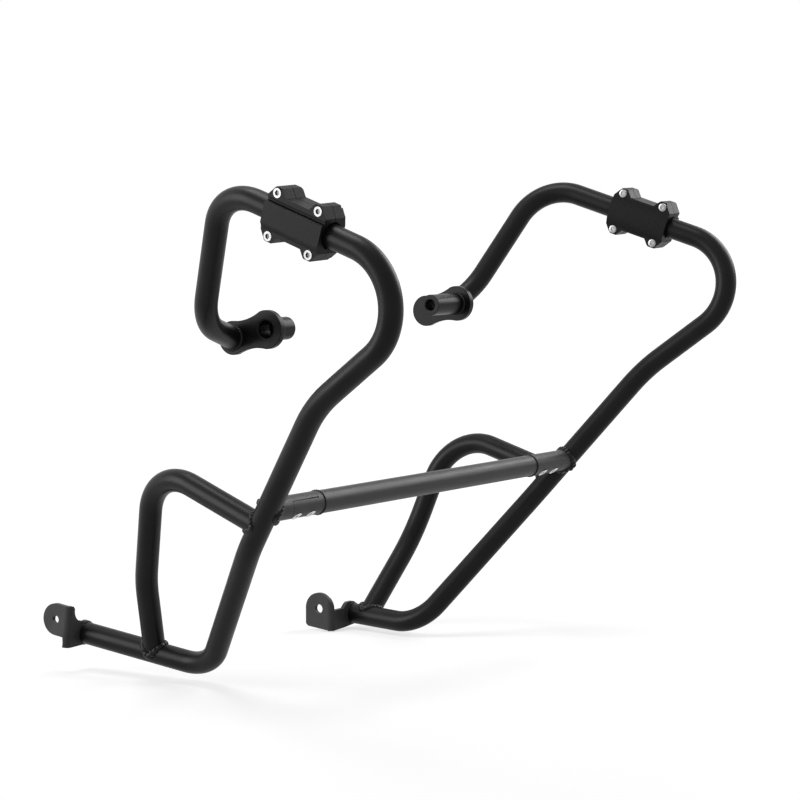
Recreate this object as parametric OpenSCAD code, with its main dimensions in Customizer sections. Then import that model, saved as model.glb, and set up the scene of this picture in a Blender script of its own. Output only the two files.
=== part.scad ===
// Motorcycle crash bars: two bent tube halves, a bolted cross tube and two clamp-on blocks.
// The bike faces -Y, its left is +X and up is +Z. Routes are laid out about the bike's
// centre plane, and the whole model is then moved so that its origin is the right lower bolt.

/* [Tubes] */
// Outer diameter of every tube
tube_d = 25; // [22:0.5:32]
// Wall thickness of every tube
tube_wall = 2; // [1.5:0.5:4]

/* [Bend radii, on the tube axis] */
// Bend where the tube leaves the upper mount plate
shoulder_bend = 84; // [40:1:90]
// Bend at the top, behind the block
crown_bend = 59; // [40:1:90]
// Bend at the front, below the block
nose_bend = 60; // [40:1:75]
// Gentle bend between the front and the long straight
elbow_bend = 150; // [60:5:250]
// Slight bend where the loop joins
knee_bend = 180; // [60:5:220]
// Bend into the lower tube
heel_bend = 54; // [40:1:90]
// Upper bend of the loop
loop_top_bend = 62; // [40:1:70]
// Slight bend in the loop's rear leg
loop_leg_bend = 150; // [60:5:250]

/* [Right half, as across, fore-aft and height] */
// Tube end on the upper mount plate
right_mount_end = [-194, -195.5, 337.5]; // [-900:1:900]
// Corner of the shoulder bend
right_shoulder = [-270, -216, 357]; // [-900:1:900]
// Corner of the crown bend
right_crown = [-343, -299, 501]; // [-900:1:900]
// Corner of the nose bend
right_nose = [-358, -578, 403]; // [-900:1:900]
// Corner of the elbow bend
right_elbow = [-337, -409, 283]; // [-900:1:900]
// Corner of the knee bend
right_knee = [-289, -290, 126]; // [-900:1:900]
// Corner of the heel bend
right_heel = [-206, -173, -23]; // [-900:1:900]
// Tube end on the lower bracket
right_low_end = [-212, 0, 0]; // [-900:1:900]
// Corner of the loop's upper bend
right_loop_top = [-280, -156, 207]; // [-900:1:900]
// Corner of the slight bend in the loop's rear leg
right_loop_leg = [-235, -107, 70]; // [-900:1:900]

/* [Left half, as across, fore-aft and height] */
// Tube end on the upper mount plate
left_mount_end = [221, -177.5, 350.5]; // [-900:1:900]
// Corner of the shoulder bend
left_shoulder = [276, -197, 363]; // [-900:1:900]
// Corner of the crown bend
left_crown = [342, -265, 506]; // [-900:1:900]
// Corner of the nose bend
left_nose = [371, -575, 406]; // [-900:1:900]
// Corner of the elbow bend
left_elbow = [334, -413, 281]; // [-900:1:900]
// Corner of the knee bend
left_knee = [265, -298, 125]; // [-900:1:900]
// Corner of the heel bend
left_heel = [173, -194, -27]; // [-900:1:900]
// Tube end on the lower bracket
left_low_end = [185, -89, -24]; // [-900:1:900]
// Corner of the loop's upper bend
left_loop_top = [298, -162, 199]; // [-900:1:900]
// Corner of the slight bend in the loop's rear leg
left_loop_leg = [261, -128, 67]; // [-900:1:900]

/* [Where the joints lie along the tubes] */
// Loop's upper end, above the right knee
right_loop_above_knee = 35; // [25:1:60]
// Loop's upper end, above the left knee
left_loop_above_knee = 40; // [25:1:60]
// Loop's foot, ahead of the right lower end
right_loop_ahead_of_end = 98; // [60:1:130]
// Loop's foot, ahead of the left lower end
left_loop_ahead_of_end = 24; // [20:1:60]
// Cross tube's axis, above the right knee
right_cross_above_knee = 57; // [50:1:90]
// Cross tube's axis, above the left knee
left_cross_above_knee = 62; // [50:1:90]

/* [Upper mount plates] */
// Thickness of the plate
plate_thick = 8; // [5:0.5:12]
// Radius of the round end behind the tube
plate_end_r = 18.5; // [16:0.5:28]
// Radius of the round end that holds the spacer
plate_hole_r = 21; // [18:0.5:28]
// Radius of the hollow between the round ends
plate_waist_r = 60; // [30:1:200]
// Distance between the right plate's round ends
right_plate_span = 46; // [40:0.5:70]
// Distance between the left plate's round ends
left_plate_span = 44.5; // [40:0.5:70]
// Rise of both plates toward the front, in degrees
plate_tilt = 13; // [-30:1:45]

/* [Upper spacers] */
// Outer diameter of the spacer
spacer_d = 25; // [22:0.5:36]
// Length of the right spacer
right_spacer_len = 30; // [20:1:60]
// Length of the left spacer
left_spacer_len = 56; // [20:1:70]
// Diameter of the bolt hole at the inboard end
spacer_bore_d = 12.5; // [8:0.5:14]
// Length of that bolt hole
spacer_bore_len = 14; // [10:1:18]
// Diameter of the recess for the bolt's head
head_recess_d = 19; // [16:0.5:21]

/* [Lower brackets] */
// Thickness of the folded sheet
sheet_thick = 5; // [3:0.5:8]
// Inner radius of the fold
fold_r = 2; // [1:0.5:6]
// Rise of the right bracket toward the rear, in degrees
right_bracket_tilt = 7.6; // [0:0.1:15]
// Rise of the left bracket toward the rear, in degrees
left_bracket_tilt = 0; // [0:0.1:15]
// Diameter of the right bolt hole
right_lug_hole_d = 9; // [6:0.5:14]
// Diameter of the left bolt hole
left_lug_hole_d = 11; // [6:0.5:14]
// Radius of the right lug's round end
right_lug_r = 18; // [14:0.5:24]
// Radius of the left lug's round top
left_lug_r = 19.5; // [14:0.5:24]
// Right hole behind the flange's front face
right_lug_hole_back = 19; // [14:0.5:40]
// Left hole behind the flange's front face
left_lug_hole_back = 19.5; // [14:0.5:40]
// Right hole's height above the tube's end
right_lug_rise = 15.5; // [-10:0.5:25]
// Left hole's height above the tube's end
left_lug_rise = 9.5; // [-10:0.5:25]
// Outer face of the right lug, from the tube's end
right_lug_offset = 32; // [24:0.5:60]
// Outer face of the left lug, from the tube's end
left_lug_offset = 45; // [24:0.5:60]
// Rim of the flange round the tube's end
flange_rim = 1.5; // [1:0.5:6]
// Flange's lower edge, below the tube's end centre
flange_drop = 14; // [13:0.5:24]
// Left lug's lower front corner, below the tube's end centre
left_lug_drop = 17; // [14:0.5:24]
// Left flange's neck, above the tube's end centre
left_neck_rise = 8.5; // [5:0.5:12]

/* [Cross tube joints] */
// Joint body's outer end, from the main tube's axis
joint_start = 20; // [17:0.5:30]
// Length of the joint body
joint_len = 64; // [50:1:90]
// Overlap of the two halves of the joint
lap_len = 46; // [36:1:46]
// Play at each end of the overlap
lap_play = 0.4; // [0.2:0.1:1]
// Turn of the joint's screws below straight ahead, in degrees
lap_turn = 53; // [0:1:90]
// Distance between the joint's two screws
joint_screw_pitch = 24; // [18:1:26]
// Thread diameter of the joint's screws
joint_screw_d = 6; // [5:0.5:8]
// Head diameter of the joint's screws
joint_head_d = 12; // [10:0.5:14]
// Length of the spigot inside the cross tube
spigot_len = 18; // [10:1:40]
// Play of the spigot inside the cross tube, on radius
spigot_play = 0.1; // [0.05:0.05:0.3]

/* [Blocks] */
// Length along the tube
block_len = 76; // [70:1:90]
// Height across the tube
block_h = 57; // [54:0.5:70]
// Depth of the waist between the ears
block_valley = 8; // [5:0.5:10]
// Seam to the outer ears' face
ear_out = 16; // [14:0.5:22]
// Seam to the inner shell's back
ear_in = 15; // [14:0.5:22]
// Height of the raised panel above the outer ears
panel_rise = 3; // [1:0.5:5]
// Height of the raised panel across the tube
panel_h = 24; // [18:0.5:28]
// Swell of the inner shell's back
back_rise = 2.5; // [1:0.5:4]
// Screw centres in from the block's ends
screw_from_end = 11; // [10:0.5:14]
// Screw centres in from the block's top and bottom
screw_from_edge = 6; // [6:0.5:8]
// Roll of the right block about its tube, top outboard, in degrees
right_block_roll = 4.5; // [-20:0.5:20]
// Roll of the left block about its tube, top outboard, in degrees
left_block_roll = 0; // [-20:0.5:20]
// Gap between the two shells at the seam
seam_gap = 0.6; // [0.2:0.1:2]
// Distance of the right block behind the nose corner
right_block_from_nose = 185.5; // [150:0.5:200]
// Distance of the left block behind the nose corner
left_block_from_nose = 186.5; // [150:0.5:200]

/* [Block screws] */
// Thread diameter
block_screw_d = 6; // [5:0.5:6]
// Head diameter
block_head_d = 10; // [8.5:0.5:10]
// Head height
block_head_h = 6; // [4:0.5:7]
// Width of the hex key socket
hex_key = 5; // [3:0.5:5]
// Play of the screws in their holes, on radius
screw_play = 0.3; // [0.2:0.1:0.6]
// Width of the nuts across flats
nut_flats = 10; // [9:0.5:10]
// Height of the nuts
nut_h = 5; // [4:0.5:6]

/* [Hidden] */
$fn = 64;
RIGHT = -1;
LEFT = 1;
tube_r = tube_d / 2;
bore_r = tube_r - tube_wall;
far = 2000;
past = 30;
lap = 1;
step = 0.04;
root_gap = 0.05;
seat_r = tube_r - step;
block_screw_along = block_len - 2 * screw_from_end;
block_screw_across = block_h - 2 * screw_from_edge;
bends = [shoulder_bend, crown_bend, nose_bend, elbow_bend, knee_bend, heel_bend];
loop_bends = [loop_top_bend, loop_leg_bend];
tube_paint = [0.11, 0.11, 0.12];
part_paint = [0.2, 0.2, 0.21];
block_paint = [0.15, 0.15, 0.16];
steel = [0.75, 0.75, 0.77];

// Choices between the two halves
function pick(side, right, left) = side == RIGHT ? right : left;
function mount_end(side) = pick(side, right_mount_end, left_mount_end);
function knee(side) = pick(side, right_knee, left_knee);
function elbow(side) = pick(side, right_elbow, left_elbow);
function heel(side) = pick(side, right_heel, left_heel);
function nose(side) = pick(side, right_nose, left_nose);
function crown(side) = pick(side, right_crown, left_crown);
function low_end(side) = pick(side, right_low_end, left_low_end);
function main_route(side) = [
  mount_end(side), pick(side, right_shoulder, left_shoulder), crown(side), nose(side),
  elbow(side), knee(side), heel(side), low_end(side)
];

// Directions and points along the routes
function unit(v) = v / norm(v);
function toward(p, q, d) = p + unit(q - p) * d;
function turn(p, q, s) = acos(unit(q - p) * unit(s - q));
function set_back(p, q, s, r) = r * tan(turn(p, q, s) / 2);
function aside(v, d) = unit(v - unit(d) * (v * unit(d)));
function loop_start(side) =
  toward(knee(side), elbow(side), pick(side, right_loop_above_knee, left_loop_above_knee));
function loop_foot(side) =
  toward(low_end(side), heel(side), pick(side, right_loop_ahead_of_end, left_loop_ahead_of_end));
function cross_end(side) =
  toward(knee(side), elbow(side), pick(side, right_cross_above_knee, left_cross_above_knee));
function loop_route(side) = [
  loop_start(side), pick(side, right_loop_top, left_loop_top),
  pick(side, right_loop_leg, left_loop_leg), loop_foot(side)
];

// Places of the mounts
function plate_span(side) = pick(side, right_plate_span, left_plate_span);
function bolt_hole(side) =
  mount_end(side) + plate_span(side) * [0, -cos(plate_tilt), sin(plate_tilt)];
function plate_inner_x(side) = mount_end(side).x - side * plate_thick;
function spacer_len(side) = pick(side, right_spacer_len, left_spacer_len);
function lug_offset(side) = pick(side, right_lug_offset, left_lug_offset);
function lug_hole_d(side) = pick(side, right_lug_hole_d, left_lug_hole_d);
function lug_face(side) = low_end(side).x - lug_offset(side);
function lug_back(side) = pick(side, right_lug_hole_back, left_lug_hole_back);
function lug_rise(side) = pick(side, right_lug_rise, left_lug_rise);
function lug_r(side) = pick(side, right_lug_r, left_lug_r);
function bracket_tilt(side) = pick(side, right_bracket_tilt, left_bracket_tilt);
function lug_hole(side) = [
  lug_face(side) + sheet_thick / 2,
  low_end(side).y + lug_back(side) * cos(bracket_tilt(side)) - lug_rise(side) * sin(bracket_tilt(side)),
  low_end(side).z + lug_back(side) * sin(bracket_tilt(side)) + lug_rise(side) * cos(bracket_tilt(side))
];
function block_centre(side) =
  toward(nose(side), crown(side), pick(side, right_block_from_nose, left_block_from_nose));

// Moves the model so that its origin is the middle of the right lower bolt hole
module to_origin() {
  translate(-lug_hole(RIGHT)) children();
}

// Puts the Z axis along the line from p to q, with its origin at p
module along(p, q) {
  d = q - p;
  translate(p)
    rotate([0, acos(d.z / norm(d)), atan2(d.y, d.x)])
      children();
}

module rod(p, q, r) {
  along(p, q) cylinder(h = norm(q - p), r = r);
}

// One bend at corner q of a route, as part of a ring of radius bend_r
module bend(p, q, s, bend_r, r) {
  ahead = unit(q - p);
  inward = aside(unit(s - q), ahead);
  start = q - ahead * set_back(p, q, s, bend_r);
  centre = start + inward * bend_r;
  up = cross(-inward, ahead);
  multmatrix([
    [-inward.x, ahead.x, up.x, centre.x],
    [-inward.y, ahead.y, up.y, centre.y],
    [-inward.z, ahead.z, up.z, centre.z]
  ])
    rotate_extrude(angle = turn(p, q, s))
      translate([bend_r, 0]) circle(r = r);
}

// A round bar along a route with its corners bent. Each straight enters the bends by lap,
// and is thinner than they are by step, so that no two skins run into each other.
module bent_bar(route, radii, r, before, after) {
  last = len(route) - 1;
  back = [for (i = [0:last])
    i == 0 || i == last ? 0 : set_back(route[i - 1], route[i], route[i + 1], radii[i - 1]) - lap];
  for (i = [0:last - 1]) {
    start = i == 0
      ? toward(route[0], route[1], -before)
      : toward(route[i], route[i + 1], back[i]);
    end = i == last - 1
      ? toward(route[last], route[last - 1], -after)
      : toward(route[i + 1], route[i], back[i + 1]);
    rod(start, end, r - step);
  }
  for (i = [1:last - 1])
    bend(route[i - 1], route[i], route[i + 1], radii[i - 1], r);
}

module main_bar(side, r) {
  bent_bar(main_route(side), bends, r, past, past);
}

// All that lies inboard of the upper plate's outer face or behind the lower flange's front face
module beyond_main_ends(side) {
  m = mount_end(side);
  e = low_end(side);
  wide = 5 * tube_d;
  translate([m.x - (side == LEFT ? far : 0), m.y - wide / 2, m.z - wide / 2]) cube([far, wide, wide]);
  translate(e)
    rotate([bracket_tilt(side), 0, 0])
      translate([-wide / 2, 0, -wide / 2]) cube([wide, far, wide]);
}

module main_tube(side) {
  color(tube_paint)
    difference() {
      main_bar(side, tube_r);
      main_bar(side, bore_r);
      beyond_main_ends(side);
    }
}

// The straights of the main tube that other pieces are fitted to
module upper_straight(side, r) {
  rod(toward(knee(side), elbow(side), 5), toward(elbow(side), knee(side), 25), r);
}

module lower_straight(side, r) {
  rod(toward(low_end(side), heel(side), 0), toward(heel(side), low_end(side), 30), r);
}

module loop_tube(side) {
  color(tube_paint)
    difference() {
      bent_bar(loop_route(side), loop_bends, tube_r, 0, 0);
      bent_bar(loop_route(side), loop_bends, bore_r, 0, 0);
      upper_straight(side, seat_r + root_gap);
      lower_straight(side, seat_r + root_gap);
      joint_cylinder(side, 0, joint_start + joint_len, tube_r + root_gap);
    }
}

// Outline of the upper plate, with its rear end at the origin and its front end along +X.
// The waist's arcs bite slightly into the round ends.
module plate_outline(span) {
  bite = 0.2;
  rear = plate_end_r + plate_waist_r;
  front = plate_hole_r + plate_waist_r;
  mid = (span * span + rear * rear - front * front) / (2 * span);
  high = sqrt(rear * rear - mid * mid);
  rear_x = mid * plate_end_r / rear;
  rear_y = high * plate_end_r / rear;
  front_x = span - (span - mid) * plate_hole_r / front;
  front_y = high * plate_hole_r / front;
  difference() {
    union() {
      circle(r = plate_end_r);
      translate([span, 0]) circle(r = plate_hole_r);
      polygon([
        [0, -rear_y], [rear_x, -rear_y], [front_x, -front_y], [span, -front_y],
        [span, front_y], [front_x, front_y], [rear_x, rear_y], [0, rear_y]
      ]);
    }
    for (s = [-1, 1])
      translate([mid, s * high]) circle(r = plate_waist_r + bite);
  }
}

// Turns an outline drawn as forward and up into the fore-aft plane, growing toward +X
module in_side_plane(at, tilt = 0) {
  translate(at)
    rotate([tilt, 0, 0])
      multmatrix([[0, 0, 1, 0], [-1, 0, 0, 0], [0, 1, 0, 0]])
        children();
}

module mount_plate(side) {
  m = mount_end(side);
  low_x = min(m.x, plate_inner_x(side));
  h = bolt_hole(side);
  color(part_paint)
    difference() {
      in_side_plane([low_x, m.y, m.z], -plate_tilt)
        linear_extrude(plate_thick) plate_outline(plate_span(side));
      translate([low_x - 1, h.y, h.z])
        rotate([0, 90, 0]) cylinder(h = plate_thick + 2, d = head_recess_d);
      chamfer_ring([m.x, h.y, h.z], side, head_recess_d / 2, 1.5);
    }
}

// A cone that breaks the edge of a hole whose mouth faces outboard
module chamfer_ring(at, side, r, c) {
  translate(at)
    rotate([0, -90 * side, 0])
      translate([0, 0, -0.01]) cylinder(h = c, r1 = r + c, r2 = r);
}

module spacer(side) {
  h = bolt_hole(side);
  length = spacer_len(side);
  color(part_paint)
    translate([plate_inner_x(side), h.y, h.z])
      rotate([0, -90 * side, 0])
        difference() {
          cylinder(h = length, d = spacer_d);
          translate([0, 0, -1]) cylinder(h = length + 2, d = spacer_bore_d);
          translate([0, 0, -1]) cylinder(h = length - spacer_bore_len + 1, d = head_recess_d);
          translate([0, 0, length - 1])
            cylinder(h = 1.01, r1 = spacer_bore_d / 2, r2 = spacer_bore_d / 2 + 1);
        }
}

// The folded sheet seen from above, with the lug's outer face at x 0 and the flange's front at y 0
module folded_section(lug_len, flange_len) {
  outer_r = fold_r + sheet_thick;
  translate([0, outer_r]) square([sheet_thick, lug_len - outer_r]);
  translate([outer_r, 0]) square([flange_len - outer_r, sheet_thick]);
  translate([outer_r, outer_r])
    intersection() {
      difference() {
        circle(r = outer_r);
        circle(r = fold_r);
      }
      translate([-outer_r, -outer_r]) square(outer_r);
    }
}

// The bracket's lug from the side: y runs back from the flange's front and z up from the tube's end
module lug_outline(side) {
  r = lug_r(side);
  back = lug_back(side);
  rise = lug_rise(side);
  translate([back, rise]) circle(r = r);
  if (side == RIGHT)
    polygon([
      [0, -flange_drop], [sheet_thick, -flange_drop], [sheet_thick + 2, rise - r],
      [back, rise - r], [back, rise + r], [0, rise + r]
    ]);
  else
    polygon([
      [0, -left_lug_drop], [back + r - 3, 4 - left_lug_drop], [back + r, 7 - left_lug_drop],
      [back + r, rise], [0, rise]
    ]);
}

// The bracket's flange from the front: x runs from the lug's outer face and z up from the tube's end
module flange_outline(side) {
  x = lug_offset(side);
  top = lug_rise(side) + lug_r(side);
  hump = tube_r + 2.5;
  round_r = 15;
  translate([x, 0]) circle(r = tube_r + flange_rim);
  if (side == RIGHT)
    difference() {
      polygon([
        [0, -flange_drop], [x - 22, -flange_drop], [x - 4, -tube_r - 1],
        [x - 4, tube_r + 1], [x - 7.5, tube_r + 2], [x - 7.5 - round_r, top - 3],
        [sheet_thick + 2, top], [0, top]
      ]);
      translate([x - 7.5, tube_r + 2 + round_r]) circle(r = round_r);
    }
  else
    polygon([
      [0, -left_lug_drop], [x - 17, -flange_drop - 1.5], [x, -flange_drop],
      [x + 8, 0], [x + 4, hump - 1], [x, hump], [x - 10, hump], [x - 14, hump - 2],
      [x - 19, left_neck_rise], [0, left_neck_rise]
    ]);
}

module lower_bracket(side) {
  wide = lug_offset(side) + tube_r + flange_rim;
  deep = lug_back(side) + lug_r(side);
  tall = 4 * lug_r(side);
  // How far each outline reaches into the fold
  reach = sheet_thick + fold_r / 2;
  color(part_paint)
    translate([lug_face(side), low_end(side).y, low_end(side).z])
      rotate([bracket_tilt(side), 0, 0])
        difference() {
          intersection() {
            translate([0, 0, -tall / 2]) linear_extrude(tall) folded_section(deep, wide);
            union() {
              multmatrix([[0, 0, 1, -1], [1, 0, 0, 0], [0, 1, 0, 0]])
                linear_extrude(reach + 1) lug_outline(side);
              multmatrix([[1, 0, 0, 0], [0, 0, 1, -1], [0, 1, 0, 0]])
                linear_extrude(reach + 1) flange_outline(side);
            }
          }
          translate([-1, lug_back(side), lug_rise(side)])
            rotate([0, 90, 0]) cylinder(h = sheet_thick + 2, d = lug_hole_d(side));
        }
}

// The joints of the cross tube: z runs inboard from the main tube's axis, +X is the screws' side
module joint_frame(side) {
  p = cross_end(side);
  inboard = unit(cross_end(-side) - p);
  screw_way = aside([0, -cos(lap_turn), -sin(lap_turn)], inboard);
  third = cross(inboard, screw_way);
  multmatrix([
    [screw_way.x, third.x, inboard.x, p.x],
    [screw_way.y, third.y, inboard.y, p.y],
    [screw_way.z, third.z, inboard.z, p.z]
  ])
    children();
}

module joint_cylinder(side, from, to, r) {
  joint_frame(side) translate([0, 0, from]) cylinder(h = to - from, r = r);
}

lap_start = joint_start + (joint_len - lap_len) / 2;
lap_end = lap_start + lap_len;
lap_mid = (lap_start + lap_end) / 2;
tongue_end = joint_start + joint_len;

module joint_screw_row() {
  for (s = [-1, 1])
    translate([0, 0, lap_mid + s * joint_screw_pitch / 2])
      rotate([0, 90, 0]) children();
}

joint_head_top = sqrt(tube_r * tube_r - joint_head_d * joint_head_d / 4) - 0.3;
joint_head_h = (joint_head_d - joint_screw_d) / 2;

// Seat of a countersunk head, open to the outside
module joint_screw_seat() {
  translate([0, 0, joint_head_top - joint_head_h])
    cylinder(h = joint_head_h, r1 = joint_screw_d / 2, r2 = joint_head_d / 2);
  translate([0, 0, joint_head_top]) cylinder(h = tube_r, r = joint_head_d / 2);
}

module joint_socket(side) {
  color(part_paint)
    difference() {
      joint_cylinder(side, 0, lap_end - lap_play, tube_r);
      upper_straight(side, seat_r);
      joint_frame(side) {
        translate([0, -tube_d, lap_start]) cube([tube_d, 2 * tube_d, lap_len + 1]);
        joint_screw_row()
          translate([0, 0, -tube_r * 0.7]) cylinder(h = tube_r, r = joint_screw_d / 2);
      }
    }
}

module joint_tongue(side) {
  color(part_paint)
    joint_frame(side)
      difference() {
        union() {
          translate([0, 0, lap_start + lap_play])
            cylinder(h = tongue_end - lap_start - lap_play, r = tube_r);
          translate([0, 0, tongue_end]) cylinder(h = spigot_len, r = bore_r - spigot_play);
        }
        translate([-tube_d, -tube_d, lap_start - 1]) cube([tube_d, 2 * tube_d, lap_len + 1]);
        joint_screw_row() {
          translate([0, 0, -1]) cylinder(h = tube_r, r = joint_screw_d / 2 + screw_play);
          joint_screw_seat();
        }
      }
}

module joint_screws(side) {
  color(steel)
    joint_frame(side)
      joint_screw_row()
        difference() {
          union() {
            translate([0, 0, -tube_r * 0.7 + 1])
              cylinder(h = tube_r * 0.7 - 1 + joint_head_top - joint_head_h, r = joint_screw_d / 2);
            translate([0, 0, joint_head_top - joint_head_h])
              cylinder(h = joint_head_h, r1 = joint_screw_d / 2, r2 = joint_head_d / 2);
          }
          translate([0, 0, joint_head_top - 2])
            cylinder(h = 3, d = hex_socket_d(4), $fn = 6);
        }
}

// Diameter over the corners of a hexagon
function hex_socket_d(flats) = flats / cos(30);

module cross_tube() {
  length = norm(cross_end(LEFT) - cross_end(RIGHT)) - 2 * tongue_end;
  color([0.3, 0.3, 0.31])
    joint_frame(RIGHT)
      translate([0, 0, tongue_end])
        difference() {
          cylinder(h = length, r = tube_r);
          translate([0, 0, -1]) cylinder(h = length + 2, r = bore_r);
        }
}

// A clamp block's frame: X along the tube, Y up and Z outboard, with the tube's axis through it
module block_frame(side) {
  c = block_centre(side);
  run = unit(nose(side) - crown(side)) * -side;
  level = aside([side, 0, 0], run);
  roll = pick(side, right_block_roll, left_block_roll);
  out = level * cos(roll) - cross(level, run) * sin(roll);
  up = cross(out, run);
  multmatrix([[run.x, up.x, out.x, c.x], [run.y, up.y, out.y, c.y], [run.z, up.z, out.z, c.z]])
    children();
}

// Ears with cut corners, and a shallow waist between them
module block_outline() {
  x = block_len / 2;
  y = block_h / 2;
  w = y - block_valley;
  ear_mid = block_screw_along / 2;
  quarter = [
    [ear_mid - 11.5, w], [ear_mid - 5, y], [ear_mid + 3, y], [x, y - 10.5]
  ];
  polygon(concat(
    [for (p = quarter) p],
    [for (i = [3:-1:0]) [quarter[i].x, -quarter[i].y]],
    [for (p = quarter) [-p.x, -p.y]],
    [for (i = [3:-1:0]) [-quarter[i].x, quarter[i].y]]
  ));
}

module block_screw_places() {
  for (x = [-1, 1], y = [-1, 1])
    translate([x * block_screw_along / 2, y * block_screw_across / 2, 0]) children();
}

// The tube's passage through a block, with both mouths opened out
module block_bore() {
  rotate([0, 90, 0]) {
    translate([0, 0, -block_len]) cylinder(h = 2 * block_len, r = seat_r);
    for (s = [0, 1])
      mirror([0, 0, s])
        translate([0, 0, block_len / 2 - 2])
          cylinder(h = 2.01, r1 = seat_r, r2 = seat_r + 2);
  }
}

// The outer shell's section across the tube, as up and outboard: ears, ledges and raised panel
module outer_section() {
  h = panel_h / 2;
  top = ear_out + panel_rise;
  polygon([
    [-block_h / 2, seam_gap / 2], [block_h / 2, seam_gap / 2], [block_h / 2, ear_out - 1],
    [block_h / 2 - 1, ear_out], [h + 3.5, ear_out], [h + 2.5, ear_out - 1.5], [h + 0.5, ear_out - 1.5],
    [h, ear_out], [h, top - 1], [h - 1, top], [1 - h, top], [-h - 2, ear_out + 1],
    [-h - 4.5, ear_out], [1 - block_h / 2, ear_out], [-block_h / 2, ear_out - 1]
  ]);
}

module block_outer(side) {
  color(block_paint)
    block_frame(side)
      difference() {
        intersection() {
          linear_extrude(ear_out + panel_rise) block_outline();
          // The section is drawn as up and outboard, and runs along the tube
          multmatrix([[0, 0, 1, -block_len / 2], [1, 0, 0, 0], [0, 1, 0, 0]])
            linear_extrude(block_len) outer_section();
        }
        block_bore();
        block_screw_places() {
          translate([0, 0, -1]) cylinder(h = ear_out + 2, r = block_screw_d / 2 + screw_play);
          translate([0, 0, ear_out - 2])
            cylinder(h = panel_rise + 3, r = block_head_d / 2 + 0.8);
        }
      }
}

// The inner shell's section: a back that swells slightly between two flat ears
module inner_section() {
  h = panel_h / 2;
  polygon([
    [-block_h / 2, -seam_gap / 2], [-block_h / 2, 2 - ear_in], [2 - block_h / 2, -ear_in],
    [-h - 5, -ear_in], [-h + 2, -ear_in - back_rise], [h - 2, -ear_in - back_rise],
    [h + 5, -ear_in], [block_h / 2 - 2, -ear_in], [block_h / 2, 2 - ear_in], [block_h / 2, -seam_gap / 2]
  ]);
}

module block_inner(side) {
  color(block_paint)
    block_frame(side)
      difference() {
        intersection() {
          translate([0, 0, -ear_in - back_rise])
            linear_extrude(ear_in + back_rise) block_outline();
          multmatrix([[0, 0, 1, -block_len / 2], [1, 0, 0, 0], [0, 1, 0, 0]])
            linear_extrude(block_len) inner_section();
        }
        block_bore();
        block_screw_places() {
          translate([0, 0, -ear_in - 1])
            cylinder(h = ear_in + 2, r = block_screw_d / 2 + screw_play);
          translate([0, 0, -ear_in - back_rise - 1])
            cylinder(h = back_rise + 3, r = hex_socket_d(nut_flats) / 2 + 0.6);
        }
      }
}

nut_seat = ear_in - 2;

module block_screws(side) {
  color(steel)
    block_frame(side)
      block_screw_places() {
        difference() {
          translate([0, 0, ear_out - 2]) cylinder(h = block_head_h, d = block_head_d);
          translate([0, 0, ear_out - 2 + block_head_h / 2])
            cylinder(h = block_head_h, d = hex_socket_d(hex_key), $fn = 6);
        }
        translate([0, 0, -nut_seat - nut_h - 0.5])
          cylinder(h = nut_seat + nut_h + 0.5 + ear_out - 2, d = block_screw_d);
      }
}

module block_nuts(side) {
  color(steel)
    block_frame(side)
      block_screw_places()
        translate([0, 0, -nut_seat - nut_h])
          difference() {
            cylinder(h = nut_h, d = hex_socket_d(nut_flats), $fn = 6);
            translate([0, 0, -1]) cylinder(h = nut_h + 2, r = block_screw_d / 2);
          }
}

to_origin() main_tube(RIGHT);  // right_main_tube
to_origin() loop_tube(RIGHT);  // right_loop_tube
to_origin() mount_plate(RIGHT);  // right_mount_plate
to_origin() spacer(RIGHT);  // right_spacer
to_origin() lower_bracket(RIGHT);  // right_lower_bracket
to_origin() joint_socket(RIGHT);  // right_joint_socket
to_origin() joint_tongue(RIGHT);  // right_joint_tongue
to_origin() joint_screws(RIGHT);  // right_joint_screws
to_origin() block_outer(RIGHT);  // right_block_outer
to_origin() block_inner(RIGHT);  // right_block_inner
to_origin() block_screws(RIGHT);  // right_block_screws
to_origin() block_nuts(RIGHT);  // right_block_nuts
to_origin() main_tube(LEFT);  // left_main_tube
to_origin() loop_tube(LEFT);  // left_loop_tube
to_origin() mount_plate(LEFT);  // left_mount_plate
to_origin() spacer(LEFT);  // left_spacer
to_origin() lower_bracket(LEFT);  // left_lower_bracket
to_origin() joint_socket(LEFT);  // left_joint_socket
to_origin() joint_tongue(LEFT);  // left_joint_tongue
to_origin() joint_screws(LEFT);  // left_joint_screws
to_origin() block_outer(LEFT);  // left_block_outer
to_origin() block_inner(LEFT);  // left_block_inner
to_origin() block_screws(LEFT);  // left_block_screws
to_origin() block_nuts(LEFT);  // left_block_nuts
to_origin() cross_tube();
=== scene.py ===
"""Motorcycle crash bars: bent tubes, their welds, the bolted cross tube and the clamp-on blocks."""

import logging
import math
from collections.abc import Callable
from dataclasses import dataclass, field
from enum import Enum

import bmesh
import bpy
from mathutils import Matrix, Vector


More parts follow.
